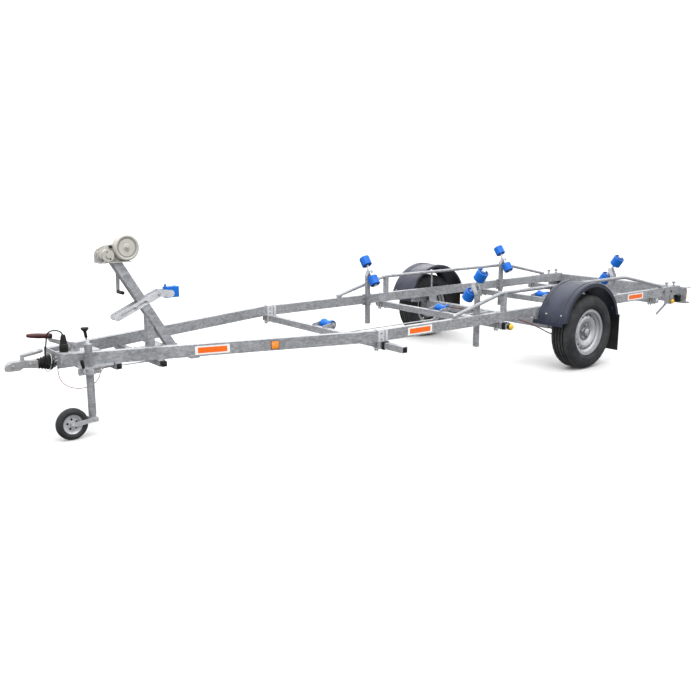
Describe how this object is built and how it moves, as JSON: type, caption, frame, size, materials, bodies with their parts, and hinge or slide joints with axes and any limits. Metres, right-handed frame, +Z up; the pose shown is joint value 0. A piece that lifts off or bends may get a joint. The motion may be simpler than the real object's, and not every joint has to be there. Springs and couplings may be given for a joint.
{
  "type": "boat trailer",
  "caption": "Single-axle boat trailer: galvanised V-nose frame with keel rollers, swivelling side rollers, winch stand, overrun coupling, jockey wheel and sliding light board.",
  "frame": {"origin": "on the ground, under the middle of the trailer's overall length and width", "axes": "+X forward to the coupling, +Y to the trailer's left, +Z up"},
  "size_m": [6.442, 2.14, 1.244],
  "materials": {
    "galvanised_steel": "hot-dip galvanised, dull spangle",
    "tyre_rubber": "matt",
    "rim_silver": "silver, satin",
    "jockey_rim_plastic": "satin",
    "roller_blue": "satin blue",
    "block_blue": "satin blue",
    "guard_plastic": "moulded, fine grain",
    "flap_rubber": "matt",
    "winch_paint": "off-white, semi-gloss",
    "lamp_red": "clear lens over red and amber",
    "marker_amber": "ribbed lens",
    "black_rubber": "matt",
    "cable_red": "sheathed",
    "cast_head": "zinc plated, dull",
    "lever_steel": "zinc plated"
  },
  "bodies": {
    "frame": {"rail_left": "galvanised_steel", "rail_right": "galvanised_steel", "front_crossbeam": "galvanised_steel", "middle_crossbeam": "galvanised_steel", "rear_crossbeam": "galvanised_steel", "tail_crossbeam": "galvanised_steel", "axle_beam": "galvanised_steel", "mudguard_left": "guard_plastic", "mudguard_right": "guard_plastic", "mudflap_left": "flap_rubber", "mudflap_right": "flap_rubber", "mudguard_stays": "galvanised_steel", "guide_tube_left": "galvanised_steel", "guide_tube_right": "galvanised_steel", "post_front_left": "galvanised_steel", "post_front_right": "galvanised_steel", "post_rear_left": "galvanised_steel", "post_rear_right": "galvanised_steel", "winch_stand": "galvanised_steel", "winch_crossbeams": "galvanised_steel", "winch_frame": "winch_paint", "winch_drum": "winch_paint", "winch_crank": "winch_paint", "bow_arm": "galvanised_steel", "bow_block": "block_blue", "overrun_housing": "galvanised_steel", "coupling_head": "cast_head", "drawbar_gaiter": "black_rubber", "handbrake_lever": "lever_steel", "jockey_outer_tube": "galvanised_steel", "jockey_clamp": "galvanised_steel", "brake_rod": "galvanised_steel", "brake_cables": "cable_red", "drawbar_crossbeam": "galvanised_steel", "connector_plug": "black_rubber", "connector_lead": "black_rubber", "breakaway_cable": "cable_red", "side_markers": "marker_amber"},
    "wheel_left": {"tyre_left": "tyre_rubber", "rim_left": "rim_silver"},
    "wheel_right": {"tyre_right": "tyre_rubber", "rim_right": "rim_silver"},
    "jockey_leg": {"jockey_inner_tube": "galvanised_steel"},
    "jockey_fork": {"jockey_fork": "galvanised_steel"},
    "jockey_wheel": {"jockey_tyre": "tyre_rubber", "jockey_rim": "jockey_rim_plastic"},
    "rocker_front_left": {"rocker_front_left": "galvanised_steel"},
    "rollers_front_left": {"rollers_front_left": "roller_blue"},
    "rocker_front_right": {"rocker_front_right": "galvanised_steel"},
    "rollers_front_right": {"rollers_front_right": "roller_blue"},
    "rocker_rear_left": {"rocker_rear_left": "galvanised_steel"},
    "rollers_rear_left": {"rollers_rear_left": "roller_blue"},
    "rocker_rear_right": {"rocker_rear_right": "galvanised_steel"},
    "rollers_rear_right": {"rollers_rear_right": "roller_blue"},
    "keel_roller_front": {"keel_roller_front": "roller_blue"},
    "keel_roller_middle": {"keel_roller_middle": "roller_blue"},
    "keel_roller_rear": {"keel_roller_rear": "roller_blue"},
    "light_board": {"light_board": "galvanised_steel", "rear_lamps": "lamp_red"}
  },
  "joints": [
    {"name": "wheel_left_spin", "type": "hinge", "parent": "frame", "child": "wheel_left", "pos_m": [-1.249, 0.962, 0.315], "axis": [0, 1, 0], "continuous": true},
    {"name": "wheel_right_spin", "type": "hinge", "parent": "frame", "child": "wheel_right", "pos_m": [-1.249, -0.962, 0.315], "axis": [0, 1, 0], "continuous": true},
    {"name": "jockey_slide", "type": "slide", "parent": "frame", "child": "jockey_leg", "axis": [0, 0, -1], "range_m": [0, 0.2]},
    {"name": "jockey_swivel", "type": "hinge", "parent": "jockey_leg", "child": "jockey_fork", "pos_m": [2.78, 0.224, 0.11], "axis": [0, 0, 1], "continuous": true},
    {"name": "jockey_wheel_spin", "type": "hinge", "parent": "jockey_fork", "child": "jockey_wheel", "pos_m": [2.914, 0.224, 0.1], "axis": [0, 1, 0], "continuous": true},
    {"name": "rocker_front_left_tilt", "type": "hinge", "parent": "frame", "child": "rocker_front_left", "pos_m": [-0.234, 0.6865, 0.705], "axis": [1, 0, 0], "range_deg": [-25, 5]},
    {"name": "rollers_front_left_spin", "type": "hinge", "parent": "rocker_front_left", "child": "rollers_front_left", "pos_m": [-0.234, 0.658, 0.758], "axis": [0, 0.5807, 0.8141], "continuous": true},
    {"name": "rocker_front_right_tilt", "type": "hinge", "parent": "frame", "child": "rocker_front_right", "pos_m": [-0.234, -0.6865, 0.705], "axis": [-1, 0, 0], "range_deg": [-25, 5]},
    {"name": "rollers_front_right_spin", "type": "hinge", "parent": "rocker_front_right", "child": "rollers_front_right", "pos_m": [-0.234, -0.658, 0.758], "axis": [0, -0.5807, 0.8141], "continuous": true},
    {"name": "rocker_rear_left_tilt", "type": "hinge", "parent": "frame", "child": "rocker_rear_left", "pos_m": [-2.079, 0.6865, 0.705], "axis": [1, 0, 0], "range_deg": [-25, 5]},
    {"name": "rollers_rear_left_spin", "type": "hinge", "parent": "rocker_rear_left", "child": "rollers_rear_left", "pos_m": [-2.079, 0.658, 0.758], "axis": [0, 0.5807, 0.8141], "continuous": true},
    {"name": "rocker_rear_right_tilt", "type": "hinge", "parent": "frame", "child": "rocker_rear_right", "pos_m": [-2.079, -0.6865, 0.705], "axis": [-1, 0, 0], "range_deg": [-25, 5]},
    {"name": "rollers_rear_right_spin", "type": "hinge", "parent": "rocker_rear_right", "child": "rollers_rear_right", "pos_m": [-2.079, -0.658, 0.758], "axis": [0, -0.5807, 0.8141], "continuous": true},
    {"name": "keel_roller_front_spin", "type": "hinge", "parent": "frame", "child": "keel_roller_front", "pos_m": [0.746, 0, 0.462], "axis": [0, 1, 0], "continuous": true},
    {"name": "keel_roller_middle_spin", "type": "hinge", "parent": "frame", "child": "keel_roller_middle", "pos_m": [-0.534, 0, 0.462], "axis": [0, 1, 0], "continuous": true},
    {"name": "keel_roller_rear_spin", "type": "hinge", "parent": "frame", "child": "keel_roller_rear", "pos_m": [-1.934, 0, 0.462], "axis": [0, 1, 0], "continuous": true},
    {"name": "light_board_slide", "type": "slide", "parent": "frame", "child": "light_board", "axis": [-1, 0, 0], "range_m": [0, 0.15]}
  ]
}
